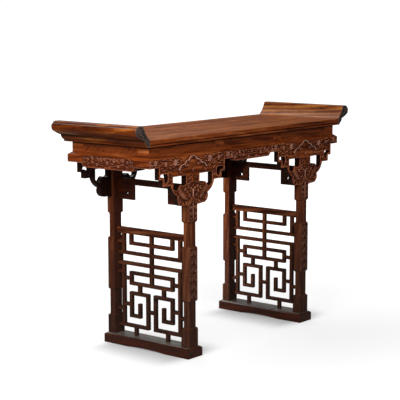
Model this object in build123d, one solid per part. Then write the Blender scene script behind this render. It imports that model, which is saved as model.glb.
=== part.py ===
"""Altar table with everted ends: a plank top on a waisted apron, carried by two trestle ends.

Each trestle has two legs in a shoe foot, pierced cloud spandrels on the long sides and a key-fret
lattice between its legs. Millimetres. X runs along the top, -Y is the front, Z is up, and the
origin lies on the floor under the middle of the top.
"""
from build123d import *
import os

os.makedirs("parts", exist_ok=True)

# ---- top -----------------------------------------------------------------------------------------
table_height = 880.0         # floor to the ridge of the everted ends
end_rise = 53.0              # ridge above the flat top
top_thickness = 26.0
top_depth = 413.0            # over the moulded front and back edges
top_board_length = 1197.0    # between the joints with the everted ends
edge_bead_height = 6.5       # bead along the lower arris of the edges
edge_cove_depth = 4.0        # hollow above the bead
edge_round = 2.0
end_overhang = 75.5          # how far an everted end reaches past the board
end_inset = 1.5              # everted end set back from the front and back edges
ridge_width = 21.0
ridge_band = 7.5             # rolled band along the ridge, above a small groove
lip_height = 34.0            # ridge down to where the lip rolls under
neck_reach = 28.5            # narrowest place under the lip, outward from the joint
neck_rise = 26.0             # and up from the underside of the top
neck_step = 5.0              # upright step under the neck
end_bead_reach = 12.5        # bead along the foot of the everted end
end_tongue_length = 8.0
end_tongue_thickness = 8.0
end_tongue_drop = 6.0        # top of the board down to the tongue
end_tongue_inset = 20.0      # tongue stops short of the front and back edges

# ---- dovetailed battens under the top ------------------------------------------------------------
batten_count = 3
batten_spacing = 300.0
batten_width = 36.0
batten_height = 20.0         # below the underside of the top
dovetail_depth = 9.0
dovetail_flare = 3.0

# ---- waist ---------------------------------------------------------------------------------------
end_eave = 13.0              # the top board reaches past the waist by this at each end
front_eave = 18.5            # and by this at the front and back
waist_height = 38.5
waist_thickness = 12.0
waist_panel_margin = 54.0    # plain border at each end of the sunk panels
waist_panel_divider = 50.0   # plain border between two sunk panels
waist_panel_rail = 7.0       # plain border above and below them
front_waist_panels = 3
waist_panel_sink = 2.5
waist_housing = 5.0          # hollow in the back of a long waist board for the head of a leg

# ---- apron ---------------------------------------------------------------------------------------
apron_end_projection = 12.0  # the apron stands out from the waist by this at each end
apron_front_projection = 14.6
apron_height = 38.0
apron_thickness = 22.0
apron_bevel_height = 9.0
front_drop = 12.5            # middle of a long apron hangs lower by this
front_drop_half = 105.0
front_drop_curve = 13.0      # length of the curve at each end of the drop
end_drop = 15.0
end_drop_half = 113.0
end_drop_curve = 18.0

# ---- spandrels, measured from the middle of their leg and down from the apron --------------------
wing_reach = 188.0
wing_drop = 44.0
wing_step = 20.0
shelf_drop = 69.0
upper_lobe_reach = 124.0
notch_reach = 84.0
notch_drop = 113.0
lower_lobe_reach = 88.0
lower_lobe_rise = 28.0
lower_lobe_foot = 55.0
lower_lobe_lift = 2.5        # from the foot of the lobe down to the point over the leg
spandrel_height = 152.0
point_rise = 23.0            # inverted V over the leg
point_margin = 3.0           # V is wider than the leg by this on each side
window_inner = 38.0
window_outer = 112.0
window_head_drop = 39.0
window_sill_drop = 75.0
window_tail_drop = 90.0
scroll_reach = 78.0          # tip of the scroll that curls up into a window
wing_hole_inner = 139.0      # comma-shaped opening in a wing
wing_hole_outer = 181.0
wing_hole_head_drop = 24.0
wing_hole_sill_drop = 36.0
wing_hole_tail_drop = 60.0
wing_scroll_reach = 158.0    # tip of the scroll that curls up into it
spandrel_tongue_height = 8.0
spandrel_tongue_thickness = 7.0
spandrel_tongue_reach = 178.0

# ---- trestles ------------------------------------------------------------------------------------
trestle_spacing = 720.6      # centre to centre
leg_width = 51.0             # along the table
leg_depth = 35.0
leg_step = 5.0               # necks are slimmer than the blocks by this on every face
foot_block_swell = 1.5       # foot block is stouter than the other blocks by this
foot_block_top = 113.0
lower_block_bottom = 208.0
lower_block_top = 417.5
upper_block_bottom = 505.5
leg_head_tenon_length = 13.0
leg_head_tenon_shoulder = 6.0
leg_foot_tenon_length = 20.0
leg_foot_tenon_width = 31.0
leg_foot_tenon_depth = 20.0

shoe_width = 83.0
shoe_projection = 10.4       # each tip of a shoe reaches past the apron by this
shoe_height = 38.0
shoe_chamfer_height = 5.5
shoe_chamfer_width = 8.0
arch_half = 95.0
arch_rise = 5.0

cross_rail_bottom = 622.0
cross_rail_height = 23.0
cross_rail_thickness = 14.0
bracket_plate_height = 58.0
bracket_plate_width = 84.0
bracket_plate_thickness = 9.0
bracket_hole_diameter = 13.0
bracket_hole_reach = 46.5    # from the face of the leg
bracket_hole_drop = 31.0     # and down from the cross rail
bracket_tongue = 5.0

# ---- key-fret lattice, levels above the floor, reaches from its middle ---------------------------
bar_width = 13.0
bar_thickness = 15.0
lattice_rail_bottom = 432.0
lattice_rail_height = 24.5
hanger_bottom = 390.0
upper_crossbar_bottom = 351.0
lower_crossbar_bottom = 311.0
rectangle_top = 287.5
rectangle_bottom = 234.0
rectangle_tie_level = 259.0
spiral_top = 208.0
spiral_turn_bottom = 107.0
spiral_tongue_top = 165.0
spiral_tie_level = 157.0
middle_tie_level = 138.0
bottom_bar_bottom = 67.5
outer_post_gap = 20.3        # clear space between a leg and an outer post
side_bar_gap = 25.0          # between an outer post and the side bars of the fret
foot_post_gap = 10.0         # between the side bars and a foot post
spiral_tongue_gap = 29.8     # between the side bars and the tongue of a spiral
spiral_inner_reach = 18.9
upper_leg_tie_level = 402.0
middle_leg_tie_level = 283.0
lower_leg_tie_level = 138.0

# ---- joints --------------------------------------------------------------------------------------
fit = 0.15                   # clearance round a tenon, tongue or lap
rail_tenon_length = 9.0
rail_tenon_thickness = 7.0
tenon_shoulder = 2.5         # tenon is narrower than its bar by this on each side
post_tenon_length = 5.0

# ---- worked out ----------------------------------------------------------------------------------
top_level = table_height - end_rise
top_underside = top_level - top_thickness
waist_length = top_board_length - 2 * end_eave
waist_depth = top_depth - 2 * front_eave
waist_bottom = top_underside - waist_height
apron_length = waist_length + 2 * apron_end_projection
apron_depth = waist_depth + 2 * apron_front_projection
apron_bottom = waist_bottom - apron_height
half_board = top_board_length / 2
half_top_depth = top_depth / 2
apron_face = apron_depth / 2
apron_back = apron_face - apron_thickness
waist_back = waist_depth / 2 - waist_thickness
leg_centre = apron_face - leg_depth / 2
leg_inner = leg_centre - leg_depth / 2
trestle_offset = trestle_spacing / 2
leg_head_face = waist_back + waist_housing - fit
spandrel_bottom = apron_bottom - spandrel_height
point_half = leg_width / 2 + point_margin
foot_block_inner = leg_inner - foot_block_swell
leg_tie_levels = (upper_leg_tie_level, middle_leg_tie_level, lower_leg_tie_level)
shoe_length = apron_depth + 2 * shoe_projection
half_bar = bar_width / 2
outer_post_reach = leg_inner - outer_post_gap - half_bar
frame_reach = outer_post_reach - side_bar_gap - bar_width
foot_post_reach = frame_reach - foot_post_gap - bar_width
spiral_tongue_reach = frame_reach - spiral_tongue_gap - bar_width
past = 100.0                 # cutting blocks reach this far past what they cut

parts = {}


def block(x_range, y_range, z_range):
    """Block between two values on each axis."""
    sizes = [high - low for low, high in (x_range, y_range, z_range)]
    middles = [(high + low) / 2 for low, high in (x_range, y_range, z_range)]
    return Pos(*middles) * Box(*sizes)


def tenon(start, direction, length, width, thickness, slack=0.0):
    """Tenon from a point along +Y, -Y, +Z or -Z, with its thickness in X; with slack, its mortise."""
    sign = 1 if direction[0] == "+" else -1
    reach = length + slack
    x, y, z = start
    if direction[1] == "y":
        return Pos(x, y + sign * reach / 2, z) * Box(thickness + 2 * slack, reach, width + 2 * slack)
    return Pos(x, y, z + sign * reach / 2) * Box(thickness + 2 * slack, width + 2 * slack, reach)


def cut_board(outline, thickness):
    """Board standing on the plane of the apron's back and growing forwards to its face."""
    return extrude(make_face(Plane.XZ.offset(apron_back) * outline), thickness, dir=(0, -1, 0))


def both_ways(shape, plane):
    """A shape and its mirror image in a plane."""
    return shape + mirror(shape, about=plane)


# ---- top board, everted ends and battens ---------------------------------------------------------
def edge_section():
    """Half of the board's cross-section, from its middle to its moulded front edge."""
    bead_top = top_underside + edge_bead_height
    bead_middle = top_underside + edge_bead_height / 2
    cove_top = bead_top + edge_cove_depth
    edge = half_top_depth
    inner = edge - edge_cove_depth
    outline = Polyline(
        (0, top_underside), (inner, top_underside), (edge - edge_bead_height / 2, top_underside)
    )
    outline += ThreePointArc(
        (edge - edge_bead_height / 2, top_underside), (edge, bead_middle),
        (edge - edge_bead_height / 2, bead_top),
    )
    outline += Line((edge - edge_bead_height / 2, bead_top), (inner, bead_top))
    outline += RadiusArc((inner, bead_top), (edge, cove_top), edge_cove_depth)
    outline += Line((edge, cove_top), (edge, top_level - edge_round))
    outline += RadiusArc((edge, top_level - edge_round), (edge - edge_round, top_level), -edge_round)
    outline += Polyline((edge - edge_round, top_level), (0, top_level), (0, top_underside))
    return make_face(Plane.YZ * outline)


def end_tongue(slack=0.0):
    """Tongue of the board into the right everted end; with slack, its groove."""
    half = half_top_depth - end_tongue_inset + slack
    tongue_top = top_level - end_tongue_drop
    return block((half_board, half_board + end_tongue_length + slack), (-half, half),
                 (tongue_top - end_tongue_thickness - slack, tongue_top + slack))


def batten_section(slack=0.0):
    """Cross-section of a batten, with its dovetail in the board; with slack, its housing."""
    half = batten_width / 2
    neck = half - dovetail_flare + slack
    head = top_underside + dovetail_depth
    foot = top_underside - batten_height
    return make_face(Plane.XZ * Polyline(
        (-half, foot), (half, foot), (half, top_underside), (neck, top_underside),
        (half + slack, head + slack), (-half - slack, head + slack), (-neck, top_underside),
        (-half, top_underside), (-half, foot),
    ))


batten_places = [(n - (batten_count - 1) / 2) * batten_spacing for n in range(batten_count)]
batten_half = waist_back - fit


def top_board():
    half = extrude(edge_section(), half_board, both=True)
    board = both_ways(half, Plane.XZ) + both_ways(end_tongue(), Plane.YZ)
    housing = extrude(batten_section(fit), batten_half + fit, both=True)
    for place in batten_places:
        board -= Pos(place, 0, 0) * housing
    return board


def everted_end():
    """Right-hand end: a bead, an ovolo, a step and a heavy rolled lip that turns up to the ridge."""
    def at(outward, up):
        return half_board + outward, top_underside + up

    lip = end_overhang
    ridge = table_height - top_underside
    ridge_outer = lip - 18.0
    ridge_inner = ridge_outer - ridge_width + edge_round
    lip_under = ridge - lip_height
    groove = ridge - ridge_band
    bead = end_bead_reach
    bead_start, bead_end = at(bead - edge_bead_height / 2, 0), at(bead - 1, edge_bead_height - 0.5)
    ovolo_start, ovolo_end = at(bead + 2, edge_bead_height + 1), at(neck_reach - 1, neck_rise - neck_step)
    neck, lip_turn = at(neck_reach, neck_rise), at(lip - 4.5, lip_under)
    slope_middle = (neck_reach + lip - 4.5) / 2, (neck_rise + lip_under) / 2 - 2
    outline = Line(at(0, 0), bead_start)
    outline += ThreePointArc(bead_start, at(bead, edge_bead_height / 2), bead_end)
    outline += Line(bead_end, ovolo_start)
    outline += ThreePointArc(ovolo_start, at((bead + neck_reach) / 2 + 1.5, neck_rise / 2), ovolo_end)
    outline += Line(ovolo_end, neck)
    outline += ThreePointArc(neck, at(*slope_middle), lip_turn)
    outline += ThreePointArc(lip_turn, at(lip, lip_under + 12), at(lip - 3.5, groove - 2))
    outline += Line(at(lip - 3.5, groove - 2), at(lip - 8.0, groove))
    outline += ThreePointArc(at(lip - 8.0, groove), at(lip - 11.5, groove + 5), at(ridge_outer, ridge))
    outline += Line(at(ridge_outer, ridge), at(ridge_inner, ridge))
    outline += ThreePointArc(at(ridge_inner, ridge), at(ridge_inner - 2.5, ridge - 1.5),
                             at(ridge_inner - 4.0, ridge - 5.0))
    outline += ThreePointArc(at(ridge_inner - 4.0, ridge - 5.0), at(18.0, top_thickness + 19.0),
                             at(0, top_thickness))
    outline += Line(at(0, top_thickness), at(0, 0))
    section = make_face(Plane.XZ * outline)
    return extrude(section, half_top_depth - end_inset, both=True) - end_tongue(fit)


# ---- waist and apron: four mitred boards each ----------------------------------------------------
def mitred_slab(half_length, face, thickness, low, high):
    """Board whose outer face stands at y = -face, mitred where it meets the next two boards."""
    back = half_length - thickness
    outline = Polyline(
        (-half_length, -face), (half_length, -face), (back, -face + thickness),
        (-back, -face + thickness), (-half_length, -face),
    )
    return extrude(Pos(0, 0, low) * make_face(outline), high - low)


def head_housing():
    """Hollow for the head of a leg in the back of the front waist board."""
    half = leg_width / 2 + fit
    return block((-half, half), (-waist_back - waist_housing, -waist_back), (waist_bottom, top_underside))


def waist_board(half_length, face, panels):
    """Waist board with a row of sunk panels."""
    board = mitred_slab(half_length, face, waist_thickness, waist_bottom, top_underside)
    spacing = (2 * (half_length - waist_panel_margin) + waist_panel_divider) / panels
    panel_half = (spacing - waist_panel_divider) / 2
    sunk = block((-panel_half, panel_half), (-face - past, -face + waist_panel_sink),
                 (waist_bottom + waist_panel_rail, top_underside - waist_panel_rail))
    for n in range(panels):
        board -= Pos((n - (panels - 1) / 2) * spacing, 0, 0) * sunk
    return board


def apron_board(half_length, face, waist_face, drop, drop_half, drop_curve):
    """Board with a bevelled upper edge and a lower middle that ends in two curves."""
    lowest = apron_bottom - drop
    board = mitred_slab(half_length, face, apron_thickness, lowest, waist_bottom)
    bevel = make_face(Plane.YZ * Polyline(
        (-face, waist_bottom - apron_bevel_height), (-waist_face, waist_bottom),
        (-face, waist_bottom), (-face, waist_bottom - apron_bevel_height),
    ))
    board -= extrude(bevel, half_length + past, both=True)
    turn = drop_half + drop_curve
    outline = Line((drop_half, lowest), (half_length + past, lowest))
    outline += Line((half_length + past, lowest), (half_length + past, apron_bottom))
    outline += Line((half_length + past, apron_bottom), (turn, apron_bottom))
    outline += ThreePointArc(
        (turn, apron_bottom), (turn - drop_curve * 0.4, apron_bottom - drop * 0.65), (drop_half, lowest))
    beside = extrude(make_face(Plane.XZ * outline), face + past, both=True)
    return board - both_ways(beside, Plane.YZ)


def ring(names, long_board, short_board):
    """Front, back, left and right boards of a four-sided ring."""
    for name, board, turn in zip(names, (long_board, long_board, short_board, short_board),
                                 (0, 180, -90, 90)):
        parts[name] = Rot(0, 0, turn) * board


# ---- spandrels -----------------------------------------------------------------------------------
def spandrel_half_outline():
    """Edge from the point over the leg, round the two lobes, out to the wing and back."""
    def at(reach, drop):
        return reach, apron_bottom - drop

    low = spandrel_height
    lobe_low = low - lower_lobe_lift
    lobe_side = low - lower_lobe_rise
    outline = Line(at(0, low - point_rise), at(point_half, low))
    outline += Line(at(point_half, low), at(lower_lobe_foot, lobe_low))
    outline += ThreePointArc(at(lower_lobe_foot, lobe_low), at(lower_lobe_reach - 9, lobe_low - 7),
                             at(lower_lobe_reach, lobe_side))
    outline += ThreePointArc(at(lower_lobe_reach, lobe_side), at(notch_reach + 3, notch_drop + 5),
                             at(notch_reach, notch_drop))
    outline += ThreePointArc(at(notch_reach, notch_drop), at(upper_lobe_reach - 13, notch_drop - 18),
                             at(upper_lobe_reach, shelf_drop))
    outline += Polyline(
        at(upper_lobe_reach, shelf_drop), at(wing_reach - wing_step, shelf_drop),
        at(wing_reach - wing_step, wing_drop), at(wing_reach, wing_drop), at(wing_reach, 0),
        at(0, 0), at(0, low - point_rise),
    )
    return outline


def window_outline():
    """Window beside the leg, with a scroll tip curling up into it from the leg side."""
    def at(reach, drop):
        return reach, apron_bottom - drop

    tail_start = scroll_reach + 8
    outline = Line(at(window_inner, window_sill_drop - 8), at(window_inner, window_head_drop))
    outline += Line(at(window_inner, window_head_drop), at(window_outer, window_head_drop))
    outline += Line(at(window_outer, window_head_drop), at(window_outer, window_sill_drop + 4))
    outline += ThreePointArc(at(window_outer, window_sill_drop + 4),
                             at(window_outer - 9, window_tail_drop - 4), at(tail_start, window_tail_drop))
    outline += ThreePointArc(at(tail_start, window_tail_drop), at(scroll_reach + 3, window_tail_drop - 9),
                             at(scroll_reach, window_sill_drop + 3))
    outline += ThreePointArc(at(scroll_reach, window_sill_drop + 3),
                             at(scroll_reach - 9, window_sill_drop - 4),
                             at(scroll_reach - 19, window_sill_drop))
    outline += ThreePointArc(at(scroll_reach - 19, window_sill_drop),
                             at(window_inner + 9, window_sill_drop),
                             at(window_inner, window_sill_drop - 8))
    return outline


def wing_hole_outline():
    """Comma-shaped opening in a wing, with a scroll tip curling up into it from the outer side."""
    def at(reach, drop):
        return reach, apron_bottom - drop

    head, sill, tail = wing_hole_head_drop, wing_hole_sill_drop, wing_hole_tail_drop
    head_start, head_end = at(wing_hole_inner + 5, head), at(wing_hole_outer - 5, head)
    sill_start, sill_end = at(wing_hole_outer - 3, sill), at(wing_scroll_reach, sill + 8)
    tail_tip = at(wing_hole_inner + 12, tail)
    outline = Line(head_start, head_end)
    outline += ThreePointArc(head_end, at(wing_hole_outer, (head + sill) / 2), sill_start)
    outline += ThreePointArc(sill_start, at(wing_scroll_reach + 7, sill), sill_end)
    outline += ThreePointArc(sill_end, at(wing_scroll_reach - 1, (sill + tail) / 2 + 5), tail_tip)
    outline += ThreePointArc(tail_tip, at(wing_hole_inner, (head + tail) / 2 - 2), head_start)
    return outline


def spandrel():
    """Front spandrel of one leg, flush with the apron above it, centred on X = 0."""
    board = cut_board(spandrel_half_outline(), apron_thickness)
    for outline in (window_outline(), wing_hole_outline()):
        board -= cut_board(outline, apron_thickness)
    return both_ways(board, Plane.YZ) + spandrel_tongue()


def spandrel_tongue(slack=0.0):
    """Tongue along the head of a front spandrel; with slack, its groove in the apron."""
    middle = -(apron_face + apron_back) / 2
    half = spandrel_tongue_thickness / 2 + slack
    reach = spandrel_tongue_reach + slack
    return block((-reach, reach), (middle - half, middle + half),
                 (apron_bottom - slack, apron_bottom + spandrel_tongue_height + slack))


# ---- legs and shoes ------------------------------------------------------------------------------
def leg_outline(half, head):
    """Outline of a leg seen square on: a foot block, a neck, a block, a neck and the upper block."""
    swell = half + foot_block_swell
    slim = half - leg_step
    right = [
        (swell, shoe_height), (swell, foot_block_top - leg_step - foot_block_swell),
        (slim, foot_block_top), (slim, lower_block_bottom), (half, lower_block_bottom + leg_step),
        (half, lower_block_top - leg_step), (slim, lower_block_top), (slim, upper_block_bottom),
        (half, upper_block_bottom + leg_step), (half, head),
    ]
    left = [(-x, z) for x, z in reversed(right)]
    return right + left + right[:1]


def leg_foot_tenon(slack=0.0):
    """Tenon of the front leg into its shoe; with slack, its mortise."""
    return tenon((0, -leg_centre, shoe_height), "-z", leg_foot_tenon_length, leg_foot_tenon_depth,
                 leg_foot_tenon_width, slack)


def leg_head_tenon(slack=0.0):
    """Tenon of the front leg into the underside of the top; with slack, its mortise."""
    half = leg_width / 2 - leg_head_tenon_shoulder + slack
    return block((-half, half), (-leg_head_face - slack, -leg_inner + slack),
                 (top_underside, top_underside + leg_head_tenon_length + slack))


def leg():
    """Front leg, centred on X = 0: a pointed shoulder under the spandrel, then a cheek behind it."""
    front_view = extrude(make_face(Plane.XZ * Polyline(*leg_outline(leg_width / 2, top_underside))),
                         apron_face + past, both=True)
    side_view = extrude(make_face(Plane.YZ * Polyline(*leg_outline(leg_depth / 2, top_underside))),
                        leg_width, both=True)
    solid = front_view & (Pos(0, -leg_centre, 0) * side_view)
    solid -= cut_board(Polyline(
        (-point_half, spandrel_bottom - fit), (0, spandrel_bottom + point_rise - fit),
        (point_half, spandrel_bottom - fit), (point_half, waist_bottom), (-point_half, waist_bottom),
        (-point_half, spandrel_bottom - fit),
    ), apron_thickness + past)
    solid -= block((-point_half, point_half), (-apron_face - past, -leg_head_face),
                   (waist_bottom, table_height))
    return solid + leg_foot_tenon() + leg_head_tenon()


def shoe():
    """Long foot of a trestle: chamfered along its top, and hollowed underneath between its pads."""
    half, chamfer = shoe_length / 2, shoe_height - shoe_chamfer_height
    side = Line((-arch_half, 0), (-half, 0))
    side += Polyline((-half, 0), (-half, chamfer), (-half + shoe_chamfer_width, shoe_height),
                     (half - shoe_chamfer_width, shoe_height), (half, chamfer), (half, 0), (arch_half, 0))
    side += ThreePointArc((arch_half, 0), (0, arch_rise), (-arch_half, 0))
    half_width = shoe_width / 2
    end = Polyline((-half_width, 0), (half_width, 0), (half_width, chamfer),
                   (half_width - shoe_chamfer_width, shoe_height),
                   (-half_width + shoe_chamfer_width, shoe_height), (-half_width, chamfer),
                   (-half_width, 0))
    body = extrude(make_face(Plane.YZ * side), shoe_width, both=True)
    return body & extrude(make_face(Plane.XZ * end), shoe_length, both=True)


# ---- lattice -------------------------------------------------------------------------------------
def level_bar(reach_from, reach_to, bottom, height=bar_width):
    """Horizontal bar of the lattice between two places in Y."""
    return block((-bar_thickness / 2, bar_thickness / 2), (reach_from, reach_to), (bottom, bottom + height))


def upright(place, bottom, top):
    """Vertical bar of the lattice centred on a place in Y."""
    return block((-bar_thickness / 2, bar_thickness / 2), (place - half_bar, place + half_bar), (bottom, top))


def rail_tenons(bottom, height, sides=("+y", "-y"), slack=0.0, shoulder=leg_inner):
    """Tenons of a rail into the legs; with slack, their mortises."""
    shape = None
    for side in sides:
        place = shoulder if side == "+y" else -shoulder
        one = tenon((0, place, bottom + height / 2), side, rail_tenon_length,
                    height - 2 * tenon_shoulder, rail_tenon_thickness, slack)
        shape = one if shape is None else shape + one
    return shape


def post_tenon(place, level, direction, slack=0.0):
    """Short tenon at the end of an upright; with slack, its mortise."""
    return tenon((0, place, level), direction, post_tenon_length, bar_width - 2 * tenon_shoulder,
                 rail_tenon_thickness, slack)


def lap_in_post(bottom):
    """Half of the upright, taken away where a level bar crosses it."""
    return block((0, bar_thickness), (-bar_width, bar_width), (bottom - fit, bottom + bar_width + fit))


def lap_in_bar(bottom):
    """Half of a level bar, taken away where the centre post crosses it."""
    return block((-bar_thickness, 0), (-half_bar - fit, half_bar + fit),
                 (bottom - past / 10, bottom + past / 5))


def spiral(side):
    """One spiral of the fret and the bottom bar that it grows from; side is +1 (back) or -1 (front)."""
    def run(reach_a, reach_b, bottom, height=bar_width):
        low, high = sorted((side * reach_a, side * reach_b))
        return level_bar(low, high, bottom, height)

    outer, inner = frame_reach + half_bar, spiral_inner_reach - half_bar
    shape = run(inner, outer, spiral_top - bar_width)
    shape += upright(side * frame_reach, spiral_turn_bottom, spiral_top)
    shape += run(spiral_tongue_reach - half_bar, outer, spiral_turn_bottom)
    shape += upright(side * spiral_tongue_reach, spiral_turn_bottom, spiral_tongue_top)
    shape += upright(side * spiral_inner_reach, bottom_bar_bottom, spiral_top)
    shape += run(inner, foot_block_inner, bottom_bar_bottom)
    end = "+y" if side > 0 else "-y"
    shape += rail_tenons(bottom_bar_bottom, bar_width, (end,), shoulder=foot_block_inner)
    shape -= post_tenon(side * outer_post_reach, bottom_bar_bottom + bar_width, "-z", fit)
    return shape - post_tenon(side * foot_post_reach, bottom_bar_bottom, "+z", fit)


def tie_blocks():
    """Short blocks that tie the fret together and to the legs, as separate solids."""
    outer = frame_reach + half_bar
    post_inner, post_outer = outer_post_reach - half_bar, outer_post_reach + half_bar
    ties = []
    for side in (1, -1):
        gaps = [(outer, post_inner, rectangle_tie_level), (outer, post_inner, spiral_tie_level)]
        for level in leg_tie_levels:
            slim = level < lower_block_bottom
            gaps.append((post_outer, leg_inner + (leg_step if slim else 0), level))
        for near, far, level in gaps:
            low, high = sorted((side * near, side * far))
            ties.append(level_bar(low, high, level - half_bar))
        ties.append(upright(side * spiral_tongue_reach, spiral_top, rectangle_bottom))
    inner = spiral_inner_reach - half_bar
    ties.append(level_bar(-inner, inner, middle_tie_level - half_bar))
    return ties


def lattice():
    """Every piece of one lattice, centred on X = 0."""
    rail_top_half = leg_inner
    crossings = (hanger_bottom, upper_crossbar_bottom, lower_crossbar_bottom, rectangle_top - bar_width)
    pieces = {}

    post = upright(0, rectangle_bottom + bar_width, lattice_rail_bottom)
    post += post_tenon(0, lattice_rail_bottom, "+z")
    post += post_tenon(0, rectangle_bottom + bar_width, "-z")
    for bottom in crossings:
        post -= lap_in_post(bottom)
    pieces["centre_post"] = post

    rail = level_bar(-rail_top_half, rail_top_half, lattice_rail_bottom, lattice_rail_height)
    rail += rail_tenons(lattice_rail_bottom, lattice_rail_height)
    for place in (0, frame_reach, -frame_reach, outer_post_reach, -outer_post_reach):
        rail -= post_tenon(place, lattice_rail_bottom, "+z", fit)
    pieces["lattice_rail"] = rail

    outer = frame_reach + half_bar
    hanger = level_bar(-outer, outer, hanger_bottom)
    for place in (frame_reach, -frame_reach):
        hanger += upright(place, hanger_bottom, lattice_rail_bottom)
        hanger += post_tenon(place, lattice_rail_bottom, "+z")
    pieces["fret_hanger"] = hanger - lap_in_bar(hanger_bottom)

    for name, bottom, end, direction in (
        ("upper_crossbar", upper_crossbar_bottom, upper_crossbar_bottom + bar_width, "-z"),
        ("lower_crossbar", lower_crossbar_bottom, lower_crossbar_bottom, "+z"),
    ):
        bar = level_bar(-leg_inner, leg_inner, bottom) + rail_tenons(bottom, bar_width)
        for place in (outer_post_reach, -outer_post_reach):
            bar -= post_tenon(place, end, direction, fit)
        pieces[name] = bar - lap_in_bar(bottom)

    frame = level_bar(-outer, outer, rectangle_bottom) + level_bar(-outer, outer, rectangle_top - bar_width)
    for place in (frame_reach, -frame_reach):
        frame += upright(place, rectangle_bottom, rectangle_top)
    frame -= lap_in_bar(rectangle_top - bar_width)
    pieces["fret_rectangle"] = frame - post_tenon(0, rectangle_bottom + bar_width, "-z", fit)

    for name, side in (("back", 1), ("front", -1)):
        place = side * outer_post_reach
        spans = {
            "upper": (upper_crossbar_bottom + bar_width, lattice_rail_bottom),
            "lower": (bottom_bar_bottom + bar_width, lower_crossbar_bottom),
        }
        for where, (low, high) in spans.items():
            piece = upright(place, low, high) + post_tenon(place, low, "-z") + post_tenon(place, high, "+z")
            pieces[f"{where}_outer_post_{name}"] = piece
        pieces[f"fret_spiral_{name}"] = spiral(side)

    foot_posts = []
    for side in (1, -1):
        place = side * foot_post_reach
        foot_posts.append(upright(place, shoe_height, bottom_bar_bottom)
                          + post_tenon(place, shoe_height, "-z") + post_tenon(place, bottom_bar_bottom, "+z"))
    pieces["foot_posts"] = Compound(children=foot_posts)
    pieces["tie_blocks"] = Compound(children=tie_blocks())
    return pieces


# ---- upper cross rail and its bracket plates -----------------------------------------------------
def bracket_plate(slack=0.0):
    """Plate in the corner of the front leg and the cross rail; with slack, its tongue's groove."""
    half = bracket_plate_thickness / 2
    low = cross_rail_bottom - bracket_plate_height
    groove = block((-half / 2 - slack, half / 2 + slack),
                   (-leg_inner - bracket_tongue - slack, -leg_inner),
                   (low + tenon_shoulder - slack, cross_rail_bottom - tenon_shoulder + slack))
    if slack:
        return groove
    plate = block((-half, half), (-leg_inner, -leg_inner + bracket_plate_width), (low, cross_rail_bottom))
    hole = Pos(0, -leg_inner + bracket_hole_reach, cross_rail_bottom - bracket_hole_drop)
    hole *= Rot(0, 90, 0) * Cylinder(bracket_hole_diameter / 2, bracket_plate_thickness * 2)
    return plate + groove - hole


def cross_rail():
    rail = block((-cross_rail_thickness / 2, cross_rail_thickness / 2), (-leg_inner, leg_inner),
                 (cross_rail_bottom, cross_rail_bottom + cross_rail_height))
    return rail + rail_tenons(cross_rail_bottom, cross_rail_height)


def leg_mortises():
    """Everything that is let into the inner face of a front leg."""
    side = ("-y",)
    cut = rail_tenons(cross_rail_bottom, cross_rail_height, side, fit) + bracket_plate(fit)
    cut += rail_tenons(lattice_rail_bottom, lattice_rail_height, side, fit)
    for bottom in (upper_crossbar_bottom, lower_crossbar_bottom):
        cut += rail_tenons(bottom, bar_width, side, fit)
    return cut + rail_tenons(bottom_bar_bottom, bar_width, side, fit, foot_block_inner)


# ---- assembly ------------------------------------------------------------------------------------
board = top_board()
right_end = everted_end()
batten = extrude(batten_section(), batten_half, both=True)
parts["everted_end_right"] = right_end
parts["everted_end_left"] = mirror(right_end, about=Plane.YZ)
for place, name in zip(batten_places, ("left", "middle", "right")):
    parts[f"batten_{name}"] = Pos(place, 0, 0) * batten

front_waist = waist_board(waist_length / 2, waist_depth / 2, front_waist_panels)
end_waist = waist_board(waist_depth / 2, waist_length / 2, 1)
for place in (-trestle_offset, trestle_offset):
    front_waist -= Pos(place, 0, 0) * head_housing()
ring(("waist_front", "waist_back", "waist_left", "waist_right"), front_waist, end_waist)

front_apron = apron_board(apron_length / 2, apron_face, waist_depth / 2, front_drop, front_drop_half,
                          front_drop_curve)
end_apron = apron_board(apron_depth / 2, apron_length / 2, waist_length / 2, end_drop, end_drop_half,
                        end_drop_curve)
for place in (-trestle_offset, trestle_offset):
    front_apron -= Pos(place, 0, 0) * spandrel_tongue(fit)
ring(("apron_front", "apron_back", "apron_left", "apron_right"), front_apron, end_apron)

front_leg = leg() - leg_mortises()
front_spandrel = spandrel()
plate = bracket_plate()
foot = shoe() - both_ways(leg_foot_tenon(fit), Plane.XZ)
for reach in (foot_post_reach, -foot_post_reach):
    foot -= post_tenon(reach, shoe_height, "-z", fit)
rail_above = cross_rail()
fret = lattice()

for trestle, x in (("left", -trestle_offset), ("right", trestle_offset)):
    here = Pos(x, 0, 0)
    for side in ("front", "back"):
        for name, shape in (("leg", front_leg), ("spandrel", front_spandrel), ("bracket_plate", plate)):
            placed = shape if side == "front" else mirror(shape, about=Plane.XZ)
            parts[f"{name}_{trestle}_{side}"] = here * placed
    parts[f"shoe_{trestle}"] = here * foot
    parts[f"cross_rail_{trestle}"] = here * rail_above
    for name, shape in fret.items():
        parts[f"{trestle}_{name}"] = here * shape
    board -= here * both_ways(leg_head_tenon(fit), Plane.XZ)
parts["top_board"] = board

for name, shape in parts.items():
    export_step(shape, f"parts/{name}.step")
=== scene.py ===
"""Finish of an altar table with everted ends: eased arrises, carving, figured wood and the studio.

Metres in the table's own frame: X runs along the top, -Y is the front, Z is up, and the floor is at
Z = 0. Carved patterns are drawn in millimetres.
"""
import math

import bpy
import numpy as np
from bpy.props import FloatProperty, FloatVectorProperty, PointerProperty
from mathutils import Matrix, Vector
from mathutils.kdtree import KDTree


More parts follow.
